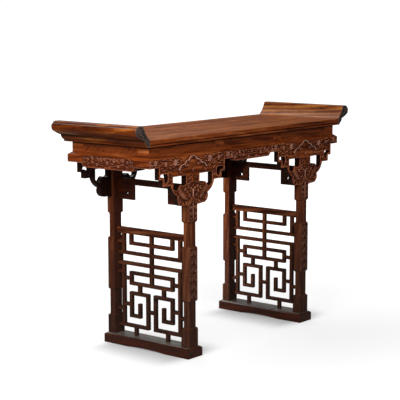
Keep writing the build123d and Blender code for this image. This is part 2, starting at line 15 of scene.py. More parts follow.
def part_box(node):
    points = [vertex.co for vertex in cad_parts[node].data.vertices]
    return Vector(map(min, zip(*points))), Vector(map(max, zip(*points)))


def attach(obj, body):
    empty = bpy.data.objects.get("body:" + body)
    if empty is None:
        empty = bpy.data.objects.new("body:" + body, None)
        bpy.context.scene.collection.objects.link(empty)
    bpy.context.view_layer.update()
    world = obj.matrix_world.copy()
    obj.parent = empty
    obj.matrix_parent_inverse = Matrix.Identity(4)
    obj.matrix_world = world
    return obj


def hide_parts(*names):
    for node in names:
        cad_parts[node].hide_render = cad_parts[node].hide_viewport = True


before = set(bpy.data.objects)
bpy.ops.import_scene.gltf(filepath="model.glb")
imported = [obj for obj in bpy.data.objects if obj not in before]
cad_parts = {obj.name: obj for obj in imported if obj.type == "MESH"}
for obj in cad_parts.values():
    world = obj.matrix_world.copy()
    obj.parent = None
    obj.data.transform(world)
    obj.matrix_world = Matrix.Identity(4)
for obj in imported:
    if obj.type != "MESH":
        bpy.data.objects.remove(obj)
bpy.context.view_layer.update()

bl_info = {
    "name": "Altar table finish",
    "version": (1, 0, 0),
    "blender": (4, 5, 0),
    "location": "3D View > Sidebar > Altar table",
    "description": "Eases, carves and polishes an altar table, and sets up its studio",
    "category": "Object",
}

MM = 0.001

# ---- places taken from the frame ----
TOP_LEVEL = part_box("top_board")[1].z
APRON_FACE = -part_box("apron_front")[0].y
APRON_END = -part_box("apron_left")[0].x
APRON_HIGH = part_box("apron_front")[1].z
SPANDREL_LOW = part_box("spandrel_left_front")[0].z
APRON_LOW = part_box("spandrel_left_front")[1].z - 8 * MM     # the spandrel's tongue goes up 8 mm
TRESTLE_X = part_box("shoe_right")[0].x / 2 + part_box("shoe_right")[1].x / 2
END_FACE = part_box("everted_end_left")[1].y
END_JOINT = -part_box("everted_end_left")[1].x
TOP_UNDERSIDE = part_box("everted_end_left")[0].z
TRESTLES = ("left", "right")

# ---- measures of the carving, in mm as the patterns are ----
LEG_HALF = 25.5              # half the width of a leg's blocks
CLOUD_REACH, BAND_REACH, TONGUE_REACH = 236, 134, 186   # clouds, middle band, spandrel's tongue
BEVEL_FOOT = 762             # level at which the bevel of the aprons starts
SLICE, SLICE_OUT, SLICE_INSET = 5, 1.6, 0.5     # end grain: thickness, how far proud, inset
# what the relief is where nothing is carved, what at its ground, and how much a ridge adds
PLAIN_WOOD, SUNK_GROUND, RIDGE_SHARE = 0.8, 0.35, 0.8


# ---- settings ----
def colour(shown_on, default):
    return FloatVectorProperty(name=shown_on.capitalize(), description=f"Colour of the {shown_on}",
                               default=default, size=3, min=0.0, max=1.0, subtype="COLOR")


def length(name, description, default):
    return FloatProperty(name=name, description=description, default=default, min=0.0,
                         unit="LENGTH", subtype="DISTANCE", precision=5)


def amount(name, description, default, low=0.0, high=1.0):
    return FloatProperty(name=name, description=description, default=default, min=low, max=high)


def power(name, where, default):
    return amount(name, f"Power of the {where}", default, high=2000.0)


class WoodColours(bpy.types.PropertyGroup):
    """Colours of the polished wood; some of them are painted shade, painted highlights and a
    painted reflection.
    """
    top_dark: colour("dark streaks of the top board", (0.075, 0.014, 0.003))
    top_mid: colour("body of the top board", (0.225, 0.054, 0.008))
    top_light: colour("golden streaks of the top board", (0.400, 0.140, 0.026))
    end_dark: colour("dark streaks of the everted ends", (0.040, 0.006, 0.001))
    end_mid: colour("body of the everted ends", (0.098, 0.019, 0.0022))
    end_light: colour("golden streaks of the everted ends", (0.270, 0.080, 0.010))
    inner_dark: colour("dark streaks inside the ends", (0.070, 0.013, 0.003))
    inner_mid: colour("inner faces of the ends", (0.170, 0.046, 0.007))
    inner_light: colour("golden streaks inside the ends", (0.330, 0.118, 0.024))
    frame_dark: colour("dark streaks of waist and apron", (0.060, 0.010, 0.002))
    frame_mid: colour("body of waist and apron", (0.170, 0.034, 0.006))
    frame_light: colour("light streaks of waist and apron", (0.300, 0.085, 0.024))
    leg_dark: colour("dark streaks of legs and lattices", (0.029, 0.006, 0.002))
    leg_mid: colour("body of legs and lattices", (0.088, 0.020, 0.006))
    leg_light: colour("light streaks of legs and lattices", (0.180, 0.055, 0.018))
    # pale grey tops of the shoes: dust and a painted reflection of the pale room
    shoe_top_dark: colour("dark streaks on the shoes' dusty tops", (0.080, 0.066, 0.055))
    shoe_top_mid: colour("shoes' dusty tops", (0.130, 0.112, 0.095))
    shoe_top_light: colour("thick dust on the shoes", (0.190, 0.170, 0.145))
    # painted shade: the ground of the sunk panels is darker than the face round it
    panel: colour("ground of the sunk panels", (0.135, 0.028, 0.006))
    hidden: colour("unpolished wood under the top", (0.040, 0.014, 0.007))
    # near-black painted shade on shaded walls and backs and in the dark bands; also the dark
    # streaks of the darkest woods
    deep: colour("wax in corners and behind the carving", (0.014, 0.004, 0.002))
    # wax in the ground of the carving, and painted shade in its recesses
    ground: colour("wax in the ground of the carving", (0.052, 0.011, 0.004))
    # ridges lighter from wear and a painted highlight
    ridge: colour("rubbed ridges of the carving", (0.270, 0.115, 0.072))
    # the brightest tone: painted highlight on the crests of the carving
    crest: colour("bright crests of the carving", (0.520, 0.360, 0.310))
    end_grain: colour("end grain of the everted ends", (0.014, 0.009, 0.007))
    end_dust: colour("dust in the end grain", (0.085, 0.066, 0.054))
    # ridges of the end grain lighter from wear and a painted highlight
    end_ridge: colour("rubbed ridges of the end grain", (0.095, 0.048, 0.032))
    # painted shade: the colour that the wood darkens to towards the floor
    floor_shade_colour: colour("dirt that darkens the wood near the floor", (0.020, 0.012, 0.009))


class CarvingSizes(bpy.types.PropertyGroup):
    """Sizes of the carving."""
    spacing: length("Spacing", "Spacing of the carved surface's points", 0.0014)
    ground_depth: length("Ground", "Depth of the sunk ground below the face", 0.0018)
    ridge_height: length("Ridges", "Height of the ridges above the face", 0.0022)
    bead_width: length("Border bead", "Width of the bead along every edge", 0.0048)
    kept_share: amount("Kept faces", "Share of the faces kept after carving", 0.6)


class EdgeSizes(bpy.types.PropertyGroup):
    """How far the arrises are eased."""
    board_arris: length("Board arris", "Rounding of the arrises of boards", 0.0010)
    bar_arris: length("Bar arris", "Rounding of the arrises of the lattice", 0.0009)
    shoe_arris: length("Shoe arris", "Rounding of the arrises of the shoes", 0.0014)


class StudioSizes(bpy.types.PropertyGroup):
    """Floor, lamps and camera."""
    floor_size: length("Floor", "Side of the pale floor", 60.0)
    key_power: power("Key lamp", "large soft lamp on the left", 68.0)
    fill_power: power("Fill lamp", "soft lamp in front", 26.0)
    over_power: power("Overhead lamp", "lamp above and behind", 75.0)
    side_power: power("Side lamp", "narrow lamp beside the right back leg", 1.1)
    room_light: amount("Room light", "Light from all round", 0.26, high=5.0)
    room_gloss: amount("Room reflection", "Brightness of the room in the polish", 0.125, high=5.0)
    floor_glow: amount("Floor glow", "Light of the floor to the camera alone", 0.58, high=5.0)
    lens: amount("Lens", "Focal length of the camera in millimetres", 113.5, 20.0, 300.0)
    distance: length("Camera distance", "From the camera to the point that it looks at", 5.01876)


class AltarTable(bpy.types.PropertyGroup):
    """All settings of the altar table."""
    wood: PointerProperty(type=WoodColours, name="Wood", description="Colours of the wood")
    carving: PointerProperty(type=CarvingSizes, name="Carving", description="Sizes of the carving")
    edges: PointerProperty(type=EdgeSizes, name="Edges", description="Rounding of the arrises")
    studio: PointerProperty(type=StudioSizes, name="Studio", description="Floor, lamps and camera")


def settings():
    return bpy.context.scene.altar_table


# ---- shader building ----
def fill(tree, node, values):
    """Links or sets inputs of a node: each value is a socket, a number, a vector or a colour."""
    for key, value in values.items():
        socket = node.inputs[key]
        if isinstance(value, bpy.types.NodeSocket):
            tree.links.new(value, socket)
        elif socket.type == "RGBA":
            socket.default_value = (*value, 1.0)
        else:
            socket.default_value = value


def put(tree, kind, values=None, **options):
    """A new node with its options and its inputs."""
    node = tree.nodes.new(kind)
    for name, value in options.items():
        setattr(node, name, value)
    fill(tree, node, values or {})
    return node


def calculate(operation, first, second=0.5, clamp=False):
    """Math on sockets or numbers, at least one of them a socket."""
    tree = (first if isinstance(first, bpy.types.NodeSocket) else second).id_data
    return put(tree, "ShaderNodeMath", {0: first, 1: second}, operation=operation,
               use_clamp=clamp).outputs[0]


def times(first, second):
    return calculate("MULTIPLY", first, second)


def blend(mask, first, second):
    """Colour mixed by a mask."""
    return put(mask.id_data, "ShaderNodeMix", {0: mask, 6: first, 7: second},
               data_type="RGBA").outputs[2]


def ease_between(value, low, high):
    """Smooth step of a value between two levels."""
    return put(value.id_data, "ShaderNodeMapRange",
               {"Value": value, "From Min": low, "From Max": high},
               interpolation_type="SMOOTHSTEP").outputs["Result"]


def noise(place, scale, detail, roughness=0.5, distortion=0.0):
    return put(place.id_data, "ShaderNodeTexNoise", {
        "Vector": place, "Scale": scale, "Detail": detail, "Roughness": roughness,
        "Distortion": distortion}).outputs["Fac"]


def reach_along(place, axis):
    """One coordinate of a place."""
    return put(place.id_data, "ShaderNodeSeparateXYZ", {0: place}).outputs[axis]


def relief_level(tree):
    """Level that the carver left on the points."""
    return put(tree, "ShaderNodeAttribute", attribute_name="relief").outputs["Fac"]


def new_group(name, inputs, outputs):
    """Empty shader group; an input is given by its kind or, for a number, by its default."""
    group = bpy.data.node_groups.new(name, "ShaderNodeTree")
    for socket, kind in inputs.items():
        number = isinstance(kind, float)
        made = group.interface.new_socket(
            socket, in_out="INPUT", socket_type=f"NodeSocket{'Float' if number else kind}")
        if number:
            made.default_value = kind
    for socket, kind in outputs.items():
        group.interface.new_socket(socket, in_out="OUTPUT", socket_type=f"NodeSocket{kind}")
    return group, group.nodes.new("NodeGroupInput").outputs, group.nodes.new("NodeGroupOutput")


def wood_figure_group():
    """Streaked figure, growth lines and pores, for a vector that is stretched along the grain."""
    group, given, out = new_group(
        "wood figure",
        {"Vector": "Vector", "Dark": "Color", "Mid": "Color", "Light": "Color", "Lines": 0.35,
         "Streaks": 0.4, "Pores": 0.5},
        {"Color": "Color", "Gloss": "Float", "Height": "Float"})
    place = given["Vector"]
    figure = noise(place, 3.2, 4.0, distortion=0.9)
    lines = put(group, "ShaderNodeTexWave", {
        "Vector": place, "Scale": 2.6, "Distortion": 5.5, "Detail": 2.5, "Detail Scale": 0.7},
        bands_direction="DIAGONAL").outputs["Fac"]
    streaks = noise(place, 22.0, 3.0, roughness=0.6)
    for texture, share in ((lines, "Lines"), (streaks, "Streaks")):
        swing = calculate("SUBTRACT", texture, 0.5)
        figure = calculate("ADD", figure, times(swing, given[share]))
    body = blend(ease_between(figure, 0.24, 0.50), given["Dark"], given["Mid"])
    body = blend(ease_between(figure, 0.50, 0.80), body, given["Light"])
    pores = times(ease_between(noise(place, 95.0, 1.0), 0.60, 0.72), given["Pores"])
    fill(group, out, {
        "Color": blend(pores, body, given["Dark"]),
        "Gloss": calculate("ADD", times(figure, 0.6), pores),
        "Height": calculate("SUBTRACT", times(streaks, 0.5), pores)})
    return group


def handling_group():
    """Uneven polish: soft blotches and dust, and painted shade that darkens the wood towards the
    floor.
    """
    group, given, out = new_group(
        "years of polish",
        {"Vector": "Vector", "Color": "Color", "Gloss": 0.5, "Roughness": 0.35, "Unevenness": 0.5,
         "Floor shade": 0.72},
        {"Color": "Color", "Roughness": "Float"})
    place = given["Vector"]
    swing = calculate("SUBTRACT", noise(place, 11.0, 5.0, roughness=0.62), 0.5)
    shade = calculate("ADD", 1.0, times(swing, given["Unevenness"]))
    # painted shade: the colour darkens towards the floor
    low = ease_between(reach_along(place, "Z"), 0.74, -0.05)
    floor_shaded = blend(times(low, given["Floor shade"]), given["Color"], settings().wood.floor_shade_colour)
    toned = put(group, "ShaderNodeVectorMath", {0: floor_shaded, "Scale": shade}, operation="SCALE")
    specks = ease_between(noise(place, 240.0, 2.0), 0.6, 0.8)
    rough = given["Roughness"]
    for part, share in ((swing, 0.35), (given["Gloss"], 0.10), (specks, 0.2)):
        rough = calculate("ADD", rough, times(part, share), clamp=True)
    fill(group, out, {"Color": toned.outputs[0], "Roughness": rough})
    return group


def carving_group():
    """Wax and painted shade in the ground, worn ridges with a painted highlight and a brighter
    painted highlight on the crests, by the relief of the carving; the lowest relief is painted
    shade.
    """
    group, given, out = new_group(
        "carved depth", dict.fromkeys(("Color", "Deep", "Ground", "Ridge", "Crest"), "Color"),
        {"Color": "Color", "Shine": "Float"})
    level = relief_level(group)
    # painted shade where the relief is lowest, on the walls and backs that carve() marks
    shown = blend(ease_between(level, 0.0, 0.35), given["Deep"], given["Ground"])
    shown = blend(ease_between(level, 0.35, 0.75), shown, given["Color"])
    # ridges lighter from wear and a painted highlight; the same mask raises the coat
    rubbed = ease_between(level, 0.82, 1.15)
    shown = blend(times(rubbed, 0.7), shown, given["Ridge"])
    # painted highlight on the crests
    crest = times(ease_between(level, 1.12, 1.28), 0.6)
    fill(group, out, {"Color": blend(crest, shown, given["Crest"]), "Shine": rubbed})
    return group


GROUPS = {}
GRAIN = {"x": (1.0, 9.0, 9.0), "y": (9.0, 1.0, 9.0), "z": (9.0, 9.0, 1.0)}


def place_group(tree, name, values):
    """Outputs of a shared group placed in a material."""
    return put(tree, "ShaderNodeGroup", values, node_tree=GROUPS[name]).outputs


def new_material(name):
    """Material with its tree, its shader and the places on its object."""
    made = bpy.data.materials.new(name)
    made.use_nodes = True
    tree = made.node_tree
    place = put(tree, "ShaderNodeTexCoord").outputs["Object"]
    return made, tree, tree.nodes["Principled BSDF"], place


def wood(name, grain, colours, roughness=0.36, coat=0.02, lines=0.20, streaks=0.45, pores=0.4,
         specular=0.08, carved=False, shift=(0, 0, 0), extra=None, foot_shade=0.72):
    """A polished wood with its grain along one axis."""
    made, tree, shader, place = new_material(name)
    dark, mid, light = colours
    stretched = put(tree, "ShaderNodeMapping",
                    {"Vector": place, "Scale": GRAIN[grain], "Location": shift})
    figure = place_group(tree, "wood figure", {
        "Vector": stretched.outputs[0], "Dark": dark, "Mid": mid, "Light": light, "Lines": lines,
        "Streaks": streaks, "Pores": pores})
    shown = figure["Color"]
    if extra:
        shown = extra(tree, place, shown, dark)
    if carved:
        woods = settings().wood
        # painted shade low in the relief, worn ridges with a painted highlight, and painted
        # highlight on the crests
        depth = place_group(tree, "carved depth", {
            "Color": shown, "Deep": woods.deep, "Ground": woods.ground, "Ridge": woods.ridge,
            "Crest": woods.crest})
        shown = depth["Color"]
        coat = calculate("ADD", times(depth["Shine"], 0.5), coat)
    polish = place_group(tree, "years of polish", {
        "Vector": place, "Color": shown, "Gloss": figure["Gloss"], "Roughness": roughness,
        "Unevenness": 0.9, "Floor shade": foot_shade})
    grooves = put(tree, "ShaderNodeBump", {
        "Strength": 0.6, "Distance": (0.15 if carved else 0.25) * MM, "Height": figure["Height"]})
    fill(tree, shader, {
        "Base Color": polish["Color"], "Roughness": polish["Roughness"],
        "Normal": grooves.outputs[0], "Coat Weight": coat, "Coat Roughness": 0.22,
        "Specular IOR Level": specular})
    return made


def knot(tree, place, shown, dark):
    """Dark knot with rings round it near the right back corner, and a smooth darkening towards the
    right end.
    """
    centre = put(tree, "ShaderNodeMapping", {
        "Vector": place, "Location": (0.486, 0.128, TOP_LEVEL), "Scale": (1.0, 0.42, 1.0)},
        vector_type="TEXTURE")
    far = put(tree, "ShaderNodeVectorMath", {0: centre.outputs[0]},
              operation="LENGTH").outputs["Value"]
    right = ease_between(reach_along(place, "X"), -0.1, 0.6)
    rings = calculate("SINE", times(far, 620.0))
    ringed = calculate("MULTIPLY", ease_between(far, 0.075, 0.010), times(rings, 0.5), clamp=True)
    core = ease_between(far, 0.022, 0.004)
    for mask, strength in ((right, 0.34), (ringed, 1.0), (core, 0.8)):
        shown = blend(times(mask, strength), shown, dark)
    return shown


def painted_shade_bands(*bands):
    """Painted shade in bands, where shade falls under the lips and mouldings and in the gap under
    the top: the lower and the upper edge of each, in mm from the underside of the top, and its
    strength."""
    def darken(tree, place, shown, dark):
        level = reach_along(place, "Z")
        for low, high, strength in bands:
            middle, width = TOP_UNDERSIDE + (low + high) / 2 * MM, (high - low) * MM
            far = calculate("ABSOLUTE", calculate("SUBTRACT", level, middle))
            mask = ease_between(far, width / 2, width / 5)
            shown = blend(times(mask, strength), shown, settings().wood.deep)
        return shown
    return darken


def end_grain_wood(name):
    """Near-black carved end grain with pale dust in its hollows, and ridges lighter from wear and a
    painted highlight.
    """
    made, tree, shader, place = new_material(name)
    woods = settings().wood
    dust_and_sheen = ease_between(noise(place, 170.0, 4.0), 0.54, 0.72)
    shown = blend(dust_and_sheen, woods.end_grain, woods.end_dust)
    # ridges lighter from wear and a painted highlight
    shown = blend(ease_between(relief_level(tree), 0.7, 1.2), shown, woods.end_ridge)
    polish = place_group(tree, "years of polish", {
        "Vector": place, "Color": shown, "Roughness": 0.42})
    cells = put(tree, "ShaderNodeTexVoronoi", {"Vector": place, "Scale": 900.0})
    pitted = put(tree, "ShaderNodeBump", {
        "Strength": 0.5, "Distance": 0.4 * MM, "Height": cells.outputs["Distance"]})
    fill(tree, shader, {
        "Base Color": polish["Color"], "Roughness": polish["Roughness"],
        "Normal": pitted.outputs[0], "Coat Weight": 0.2})
    return made


WOODS = {}


def make_woods():
    GROUPS["wood figure"] = wood_figure_group()
    GROUPS["years of polish"] = handling_group()
    GROUPS["carved depth"] = carving_group()
    woods = settings().wood
    top, ends, hollow, body, legs, dust_and_sheen = (
        tuple(getattr(woods, f"{family}_{tone}") for tone in ("dark", "mid", "light"))
        for family in ("top", "end", "inner", "frame", "leg", "shoe_top"))
    inner = (woods.ground, woods.hidden, woods.frame_mid)
    # arrises lighter from wear and a painted highlight along every edge
    worn_and_highlight = (woods.frame_mid, woods.ridge, woods.ridge)
    low = (woods.deep, tuple(0.7 * value for value in woods.ground), woods.frame_dark)
    # painted shade on the ground of the sunk panels
    panel = (woods.frame_dark, woods.panel, woods.frame_mid)
    bars = tuple(tuple(0.8 * value for value in tone) for tone in legs)
    # painted shade in bands under the top, the lips and the mouldings
    shade_under_top = painted_shade_bands((-7.5, 1, 1.0), (6, 11.5, 0.85))
    shade_on_ends = painted_shade_bands((18, 32, 0.75), (-2, 3, 0.8), (69, 73.5, 0.7))
    WOODS.update({
        "top": wood("polished top", "x", top, roughness=0.30, coat=0.0, specular=0.035, lines=0.10,
                    streaks=0.62, extra=knot),
        "fascia": wood("polished edge", "x", body, roughness=0.40, shift=(1.3, 0, 0),
                       extra=shade_under_top),
        "end": wood("polished ends", "y", ends, roughness=0.38, lines=0.18, streaks=0.40,
                    extra=shade_on_ends),
        "end hollow": wood("inner faces of the ends", "y", hollow, roughness=0.34, lines=0.35,
                           streaks=0.5, shift=(0, 3.3, 0)),
        # painted shade: faces of the bars that do not face along X are dark
        "side": wood("sides of the bars", "y", low, roughness=0.40, coat=0.05, shift=(0, 8.2, 0)),
        "along": wood("polished frame along", "x", body, shift=(3.1, 0, 0), extra=shade_under_top),
        "panel": wood("sunk panels", "x", panel, shift=(7.1, 0, 0)),
        "across": wood("polished frame across", "y", body, shift=(0, 1.7, 0), extra=shade_under_top),
        "bar": wood("polished bars", "y", bars, shift=(0, 5.5, 0)),
        "upright": wood("polished uprights", "z", legs, shift=(0, 0, 2.3)),
        "shoe": wood("polished shoes", "y", low, roughness=0.24, coat=0.30, shift=(0, 4.2, 0),
                     foot_shade=0.2),
        # pale grey tops of the shoes: dust and a painted reflection
        "shoe top": wood("dusty shoe tops", "y", dust_and_sheen, roughness=0.18, coat=1.0, specular=0.5,
                         foot_shade=0.0),
        "plate": wood("dark plates", "y", low, roughness=0.34, coat=0.1, shift=(0, 2.2, 0)),
        "lattice rail": wood("figured rails", "y", legs, lines=0.35, shift=(0, 6.4, 1.0)),
        "carved along": wood("carved boards", "x", body, carved=True),
        "carved across": wood("carved end boards", "y", body, carved=True, shift=(0, 2.9, 0)),
        "carved upright": wood("carved legs", "z", legs, carved=True, shift=(0, 0, 5.2)),
        "inner": wood("inner wood", "y", inner, roughness=0.62, coat=0.0),
        "worn_and_highlight": wood("rubbed arrises", "x", worn_and_highlight, roughness=0.30, coat=0.45, pores=0.2),
        "end grain": end_grain_wood("carved end grain"),
    })


# ---- bench work ----
def select_only(piece):
    bpy.ops.object.select_all(action="DESELECT")
    piece.select_set(True)
    bpy.context.view_layer.objects.active = piece


def blank(node, name):
    """Copy of a node's solid as a new piece, its loose triangles merged into clean faces."""
    piece = bpy.data.objects.new(name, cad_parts[node].data.copy())
    piece.data.name = name
    bpy.context.scene.collection.objects.link(piece)
    piece.data.materials.clear()
    select_only(piece)
    if piece.data.has_custom_normals:
        bpy.ops.mesh.customdata_custom_splitnormals_clear()
    bpy.ops.object.mode_set(mode="EDIT")
    bpy.ops.mesh.select_all(action="SELECT")
    bpy.ops.mesh.remove_doubles(threshold=0.01 * MM)
    bpy.ops.mesh.dissolve_limited(angle_limit=math.radians(0.5))
    bpy.ops.mesh.normals_make_consistent(inside=False)
    bpy.ops.object.mode_set(mode="OBJECT")
    return piece


def apply_modifier(piece, kind, **options):
    select_only(piece)
    modifier = piece.modifiers.new("work", kind)
    for name, value in options.items():
        setattr(modifier, name, value)
    bpy.ops.object.modifier_apply(modifier=modifier.name)


def smooth(piece, angle):
    """Smooth shading inside curves, flat on flats."""
    select_only(piece)
    bpy.ops.object.shade_smooth_by_angle(angle=math.radians(angle))
    apply_modifier(piece, "WEIGHTED_NORMAL", keep_sharp=True)


def finish_piece(piece, node, materials):
    """Gives a piece its woods, seats it on the frame and hides the node that it stands for."""
    for material in materials:
        piece.data.materials.append(WOODS[material])
    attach(piece, "root")
    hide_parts(node)


def ease_piece(node, materials, arris, chosen=None):
    """A plain piece in its first wood, with rounded arrises in the second; chosen(polygon) names
    the faces in the third."""
    piece = blank(node, f"eased_{node}")
    apply_modifier(piece, "BEVEL", width=arris, segments=3, limit_method="ANGLE",
                   angle_limit=math.radians(32), use_clamp_overlap=False, material=1)
    smooth(piece, 40)
    finish_piece(piece, node, materials)
    for polygon in piece.data.polygons:
        if chosen and chosen(polygon):
            polygon.material_index = 2


# ---- patterns, in millimetres across and up ----
def spiral(centre, radius, turns=1.3, start=0.0, hand=1, tightness=0.82):
    """Path that winds inwards round a centre, from an angle in degrees."""
    steps = np.linspace(0.0, 1.0, int(13 * turns) + 2)
    angles = math.radians(start) + hand * 2 * math.pi * turns * steps
    reach = radius * (1 - tightness * steps)
    return np.column_stack((centre[0] + reach * np.cos(angles), centre[1] + reach * np.sin(angles)))


def sweep(*corners, count=11):
    """Smooth path drawn in by its corners (a Bezier curve)."""
    steps = np.linspace(0.0, 1.0, count)[:, None]
    points = [np.array(corner, float) for corner in corners]
    while len(points) > 1:
        points = [near * (1 - steps) + far * steps for near, far in zip(points, points[1:])]
    return points[0]


def tapered(path, half_width, blunt=0.3):
    """Half-widths along a path that swell in its middle."""
    steps = np.linspace(0.0, 1.0, len(path))
    return half_width * (blunt + (1 - blunt) * np.sin(math.pi * steps))


class Pattern:
    """Rounded ridges of a carved pattern."""

    def __init__(self):
        self.ridges = []

    def ridge(self, path, half_widths, height=1.0):
        path = np.array(path, float)
        halves = np.broadcast_to(np.asarray(half_widths, float), len(path))
        self.ridges.append((path, halves, height))

    def volute(self, centre, radius, half_width=1.7, **turning):
        path = spiral(centre, radius, **turning)
        self.ridge(path, np.linspace(half_width, half_width * 0.75, len(path)))
        self.ridge([path[-1], centre], half_width * 1.15)

    def leaf(self, corners, half_width, height=0.95):
        path = sweep(*corners)
        self.ridge(path, tapered(path, half_width, 0.12), height)

    def leaves(self, *rows):
        """Leaves of three corners and a half-width each."""
        for *corners, half_width in rows:
            self.leaf(np.reshape(corners, (3, 2)), half_width)

    def rosette(self, centre, radius, petals=6, height=1.1):
        for n in range(petals):
            angle = 2 * math.pi * (n + 0.5) / petals
            out = np.array((math.cos(angle), math.sin(angle)))
            path = [np.array(centre) + out * radius * share for share in (0.42, 0.6, 0.85)]
            self.ridge(path, np.array((0.16, 0.30, 0.22)) * radius, height)
        self.ridge([centre, centre], 0.24 * radius, height * 1.15)

    def flowers(self, petals, *rows):
        """Flowers of a centre and a radius each."""
        for x, y, radius in rows:
            self.rosette((x, y), radius, petals)

    def level(self, across, up, spread=0.0):
        """Height at each place, from 0 on the ground to about 1 on a ridge; spread widens them."""
        level = np.zeros(len(across))
        for path, halves, height in self.ridges:
            halves = halves + spread
            low, high = path.min(0) - halves.max(), path.max(0) + halves.max()
            near = np.flatnonzero((across > low[0]) & (across < high[0])
                                  & (up > low[1]) & (up < high[1]))
            if not len(near):
                continue
            here = np.column_stack((across[near], up[near]))
            best = np.zeros(len(near))
            for start, end, first, last in zip(path, path[1:], halves, halves[1:]):
                step = end - start
                along = np.clip(((here - start) @ step) / max(step @ step, 1e-9), 0, 1)
                far = np.linalg.norm(here - start - along[:, None] * step, axis=1)
                half = np.maximum(first + along * (last - first), 0.01)
                best = np.maximum(best, np.sqrt(np.clip(1 - (far / half) ** 2, 0, 1)))
            level[near] = np.maximum(level[near], height * best)
        return level


def step_up(value, low, high):
    """Smooth step between two levels, also downwards."""
    share = np.clip((value - low) / (high - low), 0, 1)
    return share * share * (3 - 2 * share)


def cloud_pattern():
    """Half of the pattern over a leg: reaches from its middle, levels from the spandrel's foot."""
    drawn = Pattern()
    # ogee arch of three humps with a finer line inside it, and a curl in its haunch
    for start, crown, end in (((0, 181), (17, 181), (24, 167)), ((24, 167), (40, 169), (49, 152)),
                              ((49, 152), (65, 157), (79, 136))):
        drawn.ridge(sweep(start, crown, end), 2.7, 1.2)
        drawn.ridge(sweep(*((0.86 * x, y - 8) for x, y in (start, crown, end))), 1.2, 0.75)
    drawn.volute((33, 149), 7.0, start=70, turns=0.85, half_width=1.8)
    drawn.leaf(((0, 120), (0, 128), (0, 137)), 2.6, 0.9)
    drawn.volute((70, 128), 6.0, start=200, turns=1.2)
    # large flower over the window, smaller ones along the apron
    drawn.rosette((98, 164), 13.5, petals=7)
    drawn.rosette((98, 164), 7.0, petals=5, height=1.25)
    drawn.flowers(6, (152, 164, 8.0), (207, 169, 11.5), (229, 162, 7.5))
    stem = sweep((80, 142), (104, 140), (118, 150), (132, 168), (160, 176), (178, 158), (194, 162),
                 count=20)
    drawn.ridge(stem, 1.7, 0.95)
    drawn.leaves(
        (110, 168, 122, 181, 136, 174, 3.4), (112, 158, 122, 154, 132, 160, 2.6),
        (84, 157, 77, 150, 75, 160, 2.6), (84, 170, 78, 179, 72, 170, 2.8),
        (138, 174, 154, 184, 172, 176, 3.2), (160, 168, 172, 168, 182, 174, 2.6),
        (140, 158, 148, 152, 158, 155, 2.4), (186, 176, 194, 182, 200, 176, 2.6),
        (184, 166, 188, 156, 196, 156, 2.4), (216, 176, 226, 182, 236, 174, 2.8),
        (218, 160, 222, 154, 232, 153, 2.2), (60, 166, 66, 174, 70, 164, 2.4),
        (120, 140, 128, 149, 137, 153, 2.5), (119, 124, 124, 129, 130, 136, 2.4),
        (112, 139, 122, 143, 132, 146, 2.1), (142, 137, 156, 146, 174, 137, 2.8),
        (160, 149, 172, 152, 182, 145, 2.2), (90, 134, 98, 142, 110, 134, 2.4),
        (116, 112, 121, 118, 131, 120, 2.2), (122, 98, 126, 106, 134, 112, 2.2),
        (118, 88, 130, 90, 142, 86, 2.2), (146, 90, 156, 86, 168, 88, 2.0))
    # spray over the leg: flowers, strokes towards the middle and feathers under the window
    drawn.leaf(((0, 26), (0, 44), (0, 62)), 4.2, 1.15)
    drawn.flowers(5, (43, 62, 7.0), (26, 68, 6.2), (13, 63, 5.0), (45, 29, 6.6), (19, 37, 6.4),
                  (17, 18, 5.0), (37, 11, 5.6), (0, 74, 5.0))
    drawn.leaves(
        (26, 96, 17, 100, 7, 108, 2.6), (29, 80, 19, 83, 8, 91, 2.6), (36, 75, 29, 80, 23, 85, 2.2),
        (5, 50, 12, 56, 20, 51, 2.6), (29, 44, 32, 52, 30, 58, 2.6), (8, 32, 12, 24, 10, 20, 2.2),
        (28, 26, 32, 30, 36, 22, 2.4), (50, 14, 57, 12, 62, 6, 2.4), (26, 14, 30, 20, 36, 20, 2.0),
        (32, 88, 34, 94, 33, 104, 2.0))
    for n in range(8):
        x, y = 50.0 + 4.1 * n, 36.0 + 4.0 * n
        drawn.leaf(((x + 8, y - 9), (x + 1, y - 2), (x - 8, y + 9)), 2.0, 1.05)
    for reach in (9.0, 15.5, 22.0):
        shell = spiral((66, 22), reach, start=-80, turns=0.34, tightness=0.0)
        drawn.ridge(shell, tapered(shell, 2.3), 0.9)
    for reach in (8.0, 15.0):
        shell = spiral((99, 74), reach, start=-95, turns=0.42, tightness=0.0)
        drawn.ridge(shell, tapered(shell, 2.2), 0.9)
    return drawn


def front_band():
    """Half of the band in the middle of a long apron: long stems, slanted leaves and flowers."""
    drawn = Pattern()
    drawn.ridge(sweep((0, 750), (22, 744), (44, 753), (66, 746), count=16), 1.8)
    drawn.ridge(sweep((0, 733), (14, 729), (26, 737), (40, 731), count=14), 1.8)
    drawn.ridge(sweep((66, 730), (80, 722), (94, 742), (120, 734), count=14), 1.6)
    drawn.flowers(6, (0, 741, 5.5), (56, 731, 6.5), (82, 744, 7.5), (108, 727, 6.0), (24, 722, 5.5))
    drawn.leaves(
        (44, 736, 56, 744, 70, 754, 2.6), (90, 732, 102, 742, 114, 754, 2.8),
        (12, 740, 22, 742, 34, 739, 2.4), (34, 742, 40, 748, 50, 748, 2.2),
        (4, 722, 10, 717, 18, 719, 2.2), (32, 719, 42, 716, 50, 722, 2.4),
        (62, 720, 72, 716, 84, 720, 2.4), (88, 720, 94, 716, 102, 719, 2.0),
        (70, 738, 74, 732, 80, 732, 2.2), (114, 738, 122, 748, 132, 744, 2.6),
        (118, 730, 126, 726, 134, 732, 2.2), (98, 752, 92, 756, 86, 754, 2.0),
        (8, 755, 18, 758, 28, 754, 2.0), (48, 756, 56, 760, 64, 756, 1.8))
    return drawn


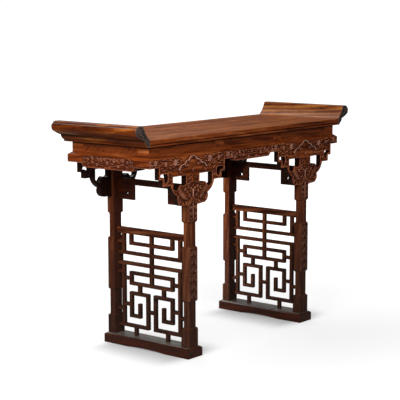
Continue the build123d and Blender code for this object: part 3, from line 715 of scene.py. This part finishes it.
def end_band():
    """Half of the band of a short apron."""
    drawn = Pattern()
    drawn.ridge(sweep((0, 752), (14, 742), (24, 758), (46, 750), (58, 736), count=18), 1.8)
    drawn.ridge(sweep((12, 722), (28, 716), (44, 734), (66, 722), (84, 734), count=18), 1.7)
    drawn.ridge(sweep((86, 752), (98, 758), (112, 752), (122, 738), count=14), 1.6)
    drawn.flowers(6, (75, 747, 8.5), (32, 742, 7.5), (97, 742, 6.5), (52, 724, 6.5), (0, 733, 7.5),
                  (112, 729, 5.0))
    drawn.leaves(
        (40, 738, 48, 746, 56, 756, 2.8), (10, 738, 16, 746, 24, 750, 2.4),
        (62, 756, 68, 760, 76, 758, 2.2), (18, 734, 24, 728, 34, 730, 2.4),
        (2, 721, 8, 714, 18, 716, 2.4), (30, 716, 38, 712, 46, 714, 2.0),
        (64, 734, 72, 730, 82, 738, 2.4), (60, 716, 70, 712, 82, 717, 2.4),
        (88, 730, 96, 722, 106, 722, 2.6), (104, 738, 112, 744, 120, 746, 2.4),
        (86, 720, 92, 715, 100, 715, 2.0), (2, 744, 6, 748, 12, 757, 2.2),
        (116, 736, 122, 730, 126, 722, 2.2))
    return drawn


def scroll_end():
    """Pattern on the end grain of an end: reaches from its joint, levels from its underside."""
    drawn = Pattern()
    drawn.volute((53, 60), 14.0, start=-150, turns=1.6, half_width=2.2)
    drawn.ridge(sweep((6, 8), (20, 14), (30, 30), (42, 48)), 2.2)
    drawn.leaves((8, 18, 18, 24, 26, 38, 3.0), (22, 10, 32, 16, 40, 30, 2.6))
    drawn.flowers(5, (12, 20, 5.0))
    return drawn


def leg_pattern():
    """Half of the pattern on the face of a leg, at levels above the floor."""
    drawn = Pattern()
    for level, hand in ((564, 1), (541, -1)):
        drawn.volute((11.5, level), 8.0, start=-90 * hand, hand=hand, half_width=1.8)
    drawn.leaf(((0, 517), (0, 545), (0, 588)), 3.4, 1.1)
    drawn.leaf(((3, 520), (16, 521), (19, 531)), 3.0)
    for level in range(229, 421, 32):
        drawn.ridge([(0, level - 13), (18, level - 13), (18, level + 12), (6, level + 12),
                     (6, level - 4), (12, level - 4), (12, level + 5)], 1.6)
        drawn.ridge([(0, level + 3), (0, level + 16)], 1.7)
    for reach, phase in ((3.5, 0.0), (10.0, 1.4), (16.5, 2.8)):
        wave = [(reach + 1.6 * math.sin(phase + level / 5.5), level)
                for level in np.arange(46.0, 102.0, 2.5)]
        drawn.ridge(wave, tapered(wave, 1.9), 0.95)
    return drawn


# ---- carving ----
def edge_finder(piece, axis, face, counts=lambda place: True):
    """Tree of places along the edges of a flat face, every millimetre."""
    mesh = piece.data
    normals = {}
    for polygon in mesh.polygons:
        for key in polygon.edge_keys:
            normals.setdefault(key, []).append(polygon.normal.copy())
    places = []
    for edge in mesh.edges:
        start, end = (mesh.vertices[n].co for n in edge.vertices)
        off_face = max(abs(start[axis] - face), abs(end[axis] - face)) > 0.1 * MM
        if off_face or all(abs(normal[axis]) > 0.9 for normal in normals[edge.key]):
            continue
        steps = max(1, round((end - start).length / MM))
        places += [start.lerp(end, n / steps) for n in range(steps + 1)]
    places = [place for place in places if counts(place)]
    tree = KDTree(len(places))
    for n, place in enumerate(places):
        tree.insert(place, n)
    tree.balance()
    return tree


def carve(piece, axis, face, ground_of, edges=None, shaded=None, rubbed=0.0, share=1.0):
    """Carves one flat face. ground_of(places) gives each place's pattern level and how far it is
    carved; shaded(places) names the other places that get painted shade, and tinted is the relief
    level painted there, 0 being the darkest; share lowers the whole relief."""
    sizes = settings().carving
    outward = math.copysign(1.0, face)
    apply_modifier(piece, "REMESH", mode="VOXEL", voxel_size=sizes.spacing)
    mesh = piece.data
    co = np.empty(len(mesh.vertices) * 3, np.float32)
    mesh.vertices.foreach_get("co", co)
    co = co.reshape(-1, 3).astype(float)
    on_face = np.flatnonzero(np.abs(co[:, axis] - face) < sizes.spacing * 0.45)
    places = co[on_face]
    level, carved = ground_of(places)
    if edges:
        half = sizes.bead_width / 2
        far = np.array([edges.find(place)[2] for place in places])
        bead = np.where(far < half, 1 - 0.45 * ((half - far) / half) ** 2,
                        np.sqrt(np.clip(1 - ((far - half) / half) ** 2, 0, 1)))
        level = np.maximum(0.85 * bead, level * step_up(far, 1.5 * half, 2.6 * half))
        carved = np.maximum(carved, step_up(far, 3.0 * half, 2.2 * half))
    rise = level * (sizes.ground_depth + sizes.ridge_height) - sizes.ground_depth
    co[on_face, axis] += outward * share * carved * rise
    relief = np.full(len(co), PLAIN_WOOD)
    # painted shade on the places that shaded() names
    if shaded:
        relief[shaded(co)] = rubbed
    relief[on_face] = (1 - carved) * PLAIN_WOOD + carved * (SUNK_GROUND + RIDGE_SHARE * level)
    mesh.vertices.foreach_set("co", co.astype(np.float32).ravel())
    made = mesh.attributes.new("relief", "FLOAT", "POINT")
    made.data.foreach_set("value", relief.astype(np.float32))
    mesh.update()
    apply_modifier(piece, "DECIMATE", decimate_type="COLLAPSE", ratio=sizes.kept_share)


def copy_of(piece, name, flip):
    """Mirrored copy with its own mesh."""
    mesh = piece.data.copy()
    mesh.name = name
    mesh.transform(Matrix.Diagonal((*flip, 1)))
    if flip[0] * flip[1] * flip[2] < 0:
        mesh.flip_normals()
    made = bpy.data.objects.new(name, mesh)
    bpy.context.scene.collection.objects.link(made)
    return made


def four_corners(piece, stem, own="front"):
    """The piece of one left corner and its mirrored copies, by the names of their corners."""
    pieces = {f"left_{own}": piece}
    for side, place in (("left", "front"), ("left", "back"), ("right", "front"), ("right", "back")):
        corner = f"{side}_{place}"
        if corner not in pieces:
            flip = (-1 if side == "right" else 1, 1 if place == own else -1, 1)
            pieces[corner] = copy_of(piece, f"{stem}_{corner}", flip)
    for made in pieces.values():
        smooth(made, 50)
    return pieces.items()


# ---- operators ----
class DressTop(bpy.types.Operator):
    """Ease and polish the top board and its battens"""
    bl_idname = "altar_table.dress_top"
    bl_label = "Top board and battens"

    def execute(self, context):
        arris = settings().edges.board_arris
        ease_piece("top_board", ("top", "worn_and_highlight", "fascia"), arris,
                   lambda polygon: polygon.center.z < TOP_LEVEL - 3 * MM)
        for place in ("left", "middle", "right"):
            ease_piece(f"batten_{place}", ("inner", "inner"), arris)
        return {"FINISHED"}


class DressEnds(bpy.types.Operator):
    """Ease and polish the everted ends and carve their end grain"""
    bl_idname = "altar_table.dress_ends"
    bl_label = "Everted ends"

    def execute(self, context):
        for side, inwards in (("left", 1), ("right", -1)):
            ease_piece(f"everted_end_{side}", ("end", "worn_and_highlight", "end hollow"),
                       settings().edges.board_arris,
                       lambda polygon: polygon.normal.x * inwards > 0.15)
        scroll = scroll_end()

        def end_face(places):
            out, up = (np.abs(places[:, 0]) - END_JOINT) / MM, (places[:, 2] - TOP_UNDERSIDE) / MM
            knobs = (np.sin(out * 1.15 + 2.0 * np.sin(up * 0.55))
                     * np.sin(up * 1.25 + 1.6 * np.sin(out * 0.45)))
            return np.maximum(scroll.level(out, up), 0.30 + 0.35 * knobs), np.ones(len(places))

        piece = blank("everted_end_left", "end_grain_left_back")
        bpy.ops.object.mode_set(mode="EDIT")
        bpy.ops.mesh.select_all(action="SELECT")
        bpy.ops.mesh.bisect(plane_co=(0, END_FACE - SLICE * MM, 0), plane_no=(0, 1, 0),
                            use_fill=True, clear_inner=True)
        bpy.ops.mesh.select_all(action="SELECT")
        bpy.ops.transform.translate(value=(0, SLICE_OUT * MM, 0))
        bpy.ops.object.mode_set(mode="OBJECT")
        apply_modifier(piece, "DISPLACE", strength=-SLICE_INSET * MM, mid_level=0.0)
        face = max(vertex.co.y for vertex in piece.data.vertices)
        carve(piece, 1, face, end_face, edge_finder(piece, 1, face), share=0.5)
        for _, grain in four_corners(piece, "end_grain", "back"):
            grain.data.materials.append(WOODS["end grain"])
            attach(grain, "root")
        return {"FINISHED"}


class DressWaist(bpy.types.Operator):
    """Ease and polish the four waist boards"""
    bl_idname = "altar_table.dress_waist"
    bl_label = "Waist boards"

    def execute(self, context):
        for side, run, axis in (("front", "along", 1), ("back", "along", 1), ("left", "across", 0),
                                ("right", "across", 0)):
            face = max(abs(corner[axis]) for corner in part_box(f"waist_{side}"))
            # the third wood is painted shade on the ground of the sunk panels
            ease_piece(f"waist_{side}", (run, "worn_and_highlight", "panel"),
                       settings().edges.board_arris,
                       lambda polygon: 2 * MM < face - abs(polygon.center[axis]) < 3 * MM)
        return {"FINISHED"}


class CarveAprons(bpy.types.Operator):
    """Carve the running scrolls of the four apron boards"""
    bl_idname = "altar_table.carve_aprons"
    bl_label = "Aprons"

    def execute(self, context):
        clouds, middle_band, short_band = cloud_pattern(), front_band(), end_band()

        def faded(close, up):
            return step_up(close, 0.05, 0.7) * step_up(up, BEVEL_FOOT, BEVEL_FOOT - 3)

        def long_board(places):
            along, up = np.abs(places[:, 0]) / MM, places[:, 2] / MM
            beside, rise = np.abs(along - TRESTLE_X / MM), up - SPANDREL_LOW / MM
            over_leg, inner = beside < CLOUD_REACH, along < BAND_REACH
            level = (np.where(over_leg, clouds.level(beside, rise), 0)
                     + inner * middle_band.level(along, up))
            close = np.maximum(np.where(over_leg, clouds.level(beside, rise, 4.5), 0),
                               inner * middle_band.level(along, up, 4.5))
            return level, faded(close, up)

        def short_board(places):
            along, up = np.abs(places[:, 1]) / MM, places[:, 2] / MM
            return short_band.level(along, up), faded(short_band.level(along, up, 4.5), up)

        def lower_edge(place):
            return place.z < APRON_HIGH - 10 * MM

        def off_joint(place):
            over_spandrel = abs(abs(place.x) - TRESTLE_X) < TONGUE_REACH * MM
            return lower_edge(place) and not (over_spandrel and place.z > APRON_LOW - 0.1 * MM)

        for side, twin, axis, face, run, pattern, counts, flip in (
            ("front", "back", 1, -APRON_FACE, "carved along", long_board, off_joint, (1, -1, 1)),
            ("left", "right", 0, -APRON_END, "carved across", short_board, lower_edge, (-1, 1, 1)),
        ):
            piece = blank(f"apron_{side}", f"carved_apron_{side}")
            carve(piece, axis, face, pattern, edge_finder(piece, axis, face, counts))
            other = copy_of(piece, f"carved_apron_{twin}", flip)
            for board, place in ((piece, side), (other, twin)):
                smooth(board, 50)
                finish_piece(board, f"apron_{place}", (run,))
        return {"FINISHED"}


class CarveSpandrels(bpy.types.Operator):
    """Carve the pierced cloud spandrels"""
    bl_idname = "altar_table.carve_spandrels"
    bl_label = "Cloud spandrels"

    def execute(self, context):
        clouds = cloud_pattern()

        def board(places):
            beside, up = np.abs(places[:, 0] + TRESTLE_X) / MM, (places[:, 2] - SPANDREL_LOW) / MM
            close = clouds.level(beside, up, 5.0)
            return clouds.level(beside, up), step_up(close, 0.05, 0.6)

        piece = blank("spandrel_left_front", "carved_spandrel_left_front")
        edges = edge_finder(piece, 1, -APRON_FACE, lambda place: place.z < APRON_LOW - 0.1 * MM)
        # painted shade on the walls and the back of the spandrel, behind its carved face
        carve(piece, 1, -APRON_FACE, board, edges,
              shaded=lambda places: places[:, 1] > -APRON_FACE + 1 * MM)
        for corner, spandrel in four_corners(piece, "carved_spandrel"):
            finish_piece(spandrel, f"spandrel_{corner}", ("carved along",))
        return {"FINISHED"}


class CarveLegs(bpy.types.Operator):
    """Carve the outer faces of the legs"""
    bl_idname = "altar_table.carve_legs"
    bl_label = "Legs"

    def execute(self, context):
        scrolls = leg_pattern()
        half_bead = 0.5 * settings().carving.bead_width / MM

        def outer_face(places):
            beside, up = np.abs(places[:, 0] + TRESTLE_X) / MM, places[:, 2] / MM
            point = 571.0 + 23.0 * (1 - beside / 28.5)      # top of the upper field
            inside = np.zeros(len(places))
            for low, high in ((512.0, point), (213.5, 412.0), (40.0, 106.0)):
                inside = np.maximum(inside, np.minimum(np.minimum(up - low, high - up),
                                                       LEG_HALF - beside))
            bead = np.sqrt(np.clip(1 - ((inside - half_bead) / half_bead) ** 2, 0, 1))
            level = scrolls.level(beside, up) * step_up(inside, 1.6 * half_bead, 2.6 * half_bead)
            return np.maximum(level, 0.8 * bead), step_up(inside, 0.3, 1.0)

        piece = blank("leg_left_front", "carved_leg_left_front")
        inner = max(vertex.co.y for vertex in piece.data.vertices) - 8 * MM
        # painted shade on the inner faces of the legs, lighter than on the spandrels
        carve(piece, 1, -APRON_FACE, outer_face, shaded=lambda places: places[:, 1] > inner,
              rubbed=0.28)
        for corner, leg in four_corners(piece, "carved_leg"):
            finish_piece(leg, f"leg_{corner}", ("carved upright",))
        return {"FINISHED"}


class DressShoes(bpy.types.Operator):
    """Ease and polish the shoe feet"""
    bl_idname = "altar_table.dress_shoes"
    bl_label = "Shoes"

    def execute(self, context):
        for trestle in TRESTLES:
            # tops of the shoes take the pale grey of dust and a painted reflection
            ease_piece(f"shoe_{trestle}", ("shoe", "worn_and_highlight", "shoe top"),
                       settings().edges.shoe_arris, lambda polygon: polygon.normal.z > 0.9)
        return {"FINISHED"}


class DressRails(bpy.types.Operator):
    """Ease and polish the cross rails and their bracket plates"""
    bl_idname = "altar_table.dress_rails"
    bl_label = "Cross rails and plates"

    def execute(self, context):
        arris = settings().edges.bar_arris
        for trestle in TRESTLES:
            ease_piece(f"cross_rail_{trestle}", ("plate", "plate"), arris)
            for side in ("front", "back"):
                ease_piece(f"bracket_plate_{trestle}_{side}", ("plate", "worn_and_highlight"),
                           arris)
        return {"FINISHED"}


LATTICE_BARS = {
    "lattice rail": ("lattice_rail",),
    "bar": ("upper_crossbar", "lower_crossbar", "fret_hanger", "fret_rectangle",
            "fret_spiral_front", "fret_spiral_back", "tie_blocks"),
    "upright": ("centre_post", "foot_posts", "upper_outer_post_front", "upper_outer_post_back",
                "lower_outer_post_front", "lower_outer_post_back"),
}


class DressLattices(bpy.types.Operator):
    """Ease and polish the fret lattices"""
    bl_idname = "altar_table.dress_lattices"
    bl_label = "Fret lattices"

    def execute(self, context):
        for trestle in TRESTLES:
            for run, bars in LATTICE_BARS.items():
                for bar in bars:
                    # the third wood paints shade on the faces of the bars that do not face along X
                    ease_piece(f"{trestle}_{bar}", (run, "worn_and_highlight", "side"),
                               settings().edges.bar_arris,
                               lambda polygon: abs(polygon.normal.x) < 0.3)
        return {"FINISHED"}


# ---- studio ----
AIM = Vector((-0.02823, 0.03475, 0.53102))
AZIMUTH, ELEVATION, ROLL = -50.879, 8.314, -0.092      # degrees
MIDDLE = (0.0, 0.0, 0.5)     # where the lamps point
WHITE = (1.0, 1.0, 1.0)
CLEAR_SIGHT = 1.02           # brightness of the room where the camera sees it


def soft_lamp(name, place, size, watts, aim=MIDDLE, spread=180.0):
    """Area lamp; one of narrow spread stays out of the polish."""
    lamp = bpy.data.lights.new(name, "AREA")
    lamp.shape = "RECTANGLE"
    lamp.size, lamp.size_y = size
    lamp.energy = watts
    lamp.spread = math.radians(spread)
    holder = bpy.data.objects.new(name, lamp)
    bpy.context.scene.collection.objects.link(holder)
    holder.location = place
    holder.rotation_euler = (Vector(aim) - Vector(place)).to_track_quat("-Z", "Y").to_euler()
    holder.visible_glossy = spread == 180.0


def pale_floor_material(glow):
    """Pale floor that glows to the camera alone, more far away, and less beside the shoes as a
    painted shadow.
    """
    made, tree, shader, place = new_material("pale floor")
    seen = put(tree, "ShaderNodeLightPath").outputs["Is Camera Ray"]
    reach = put(tree, "ShaderNodeVectorMath", {0: place}, operation="LENGTH").outputs["Value"]
    away = times(ease_between(reach, 0.7, 2.6), 0.52)
    across, deep = (calculate("ABSOLUTE", reach_along(place, axis)) for axis in "XY")
    beside = calculate("ABSOLUTE", calculate("SUBTRACT", across, TRESTLE_X))
    # painted shadow: the glow drops beside the shoes
    close = times(ease_between(beside, 0.230, 0.045), ease_between(deep, 0.24, 0.15))
    near = calculate("SUBTRACT", glow, times(close, 0.42))
    fill(tree, shader, {
        "Base Color": blend(seen, (0.25, 0.25, 0.25), (0.42, 0.42, 0.42)),
        "Roughness": 0.9, "Specular IOR Level": 0.0, "Emission Color": WHITE,
        "Emission Strength": times(seen, calculate("ADD", away, near))})
    return made


class SetUpStudio(bpy.types.Operator):
    """Lay the pale floor, hang the soft lamps and place the camera"""
    bl_idname = "altar_table.set_up_studio"
    bl_label = "Studio"

    def execute(self, context):
        sizes = settings().studio
        bpy.ops.object.select_all(action="DESELECT")
        bpy.ops.mesh.primitive_plane_add(size=sizes.floor_size, location=(0, 0, 0))
        floor = context.object
        floor.name = "studio_floor"
        floor.data.materials.append(pale_floor_material(sizes.floor_glow))

        world = bpy.data.worlds.new("studio")
        context.scene.world = world
        world.use_nodes = True
        tree = world.node_tree
        seen = put(tree, "ShaderNodeLightPath").outputs
        shown = times(seen["Is Camera Ray"], CLEAR_SIGHT - sizes.room_light)
        dimmed = times(seen["Is Glossy Ray"], sizes.room_light - sizes.room_gloss)
        light = calculate("ADD", shown, sizes.room_light)
        fill(tree, tree.nodes["Background"], {
            "Color": WHITE, "Strength": calculate("SUBTRACT", light, dimmed)})

        soft_lamp("key_lamp", (-2.4, -0.8, 1.6), (1.5, 1.5), sizes.key_power)
        soft_lamp("fill_lamp", (-1.3, -2.2, 1.6), (1.5, 1.2), sizes.fill_power)
        soft_lamp("overhead_lamp", (0.8, 1.6, 3.0), (2.4, 1.6), sizes.over_power)
        soft_lamp("side_lamp", (-0.9, 1.2, 0.34), (0.08, 0.72), sizes.side_power,
                  (TRESTLE_X, 0.205, 0.34), 16.0)

        camera = bpy.data.cameras.new("camera")
        camera.lens = sizes.lens
        camera.sensor_width = 36.0
        camera.clip_end = 100.0
        holder = bpy.data.objects.new("camera", camera)
        context.scene.collection.objects.link(holder)
        turn, rise, roll = (math.radians(angle) for angle in (AZIMUTH, ELEVATION, ROLL))
        holder.matrix_world = (
            Matrix.Translation(AIM) @ Matrix.Rotation(turn, 4, "Z")
            @ Matrix.Rotation(math.pi / 2 - rise, 4, "X") @ Matrix.Rotation(roll, 4, "Z")
            @ Matrix.Translation((0, 0, sizes.distance)))
        context.scene.camera = holder
        context.scene.view_settings.view_transform = "Standard"
        return {"FINISHED"}


class AltarTablePanel(bpy.types.Panel):
    """The pieces of the altar table, in the order in which they are made"""
    bl_idname = "VIEW3D_PT_altar_table"
    bl_label = "Altar table"
    bl_space_type = "VIEW_3D"
    bl_region_type = "UI"
    bl_category = "Altar table"

    def draw(self, context):
        for operator in OPERATORS:
            self.layout.operator(operator.bl_idname)


PROPERTY_GROUPS = (WoodColours, CarvingSizes, EdgeSizes, StudioSizes, AltarTable)
OPERATORS = (DressTop, DressEnds, DressWaist, CarveAprons, CarveSpandrels, CarveLegs, DressShoes,
             DressRails, DressLattices, SetUpStudio)


def register():
    for group in (*PROPERTY_GROUPS, *OPERATORS, AltarTablePanel):
        bpy.utils.register_class(group)
    bpy.types.Scene.altar_table = PointerProperty(type=AltarTable)


def unregister():
    del bpy.types.Scene.altar_table
    for group in reversed((*PROPERTY_GROUPS, *OPERATORS, AltarTablePanel)):
        bpy.utils.unregister_class(group)


def main():
    register()
    make_woods()
    for operator in OPERATORS:
        family, name = operator.bl_idname.split(".")
        getattr(getattr(bpy.ops, family), name)()


if __name__ == "__main__":
    main()
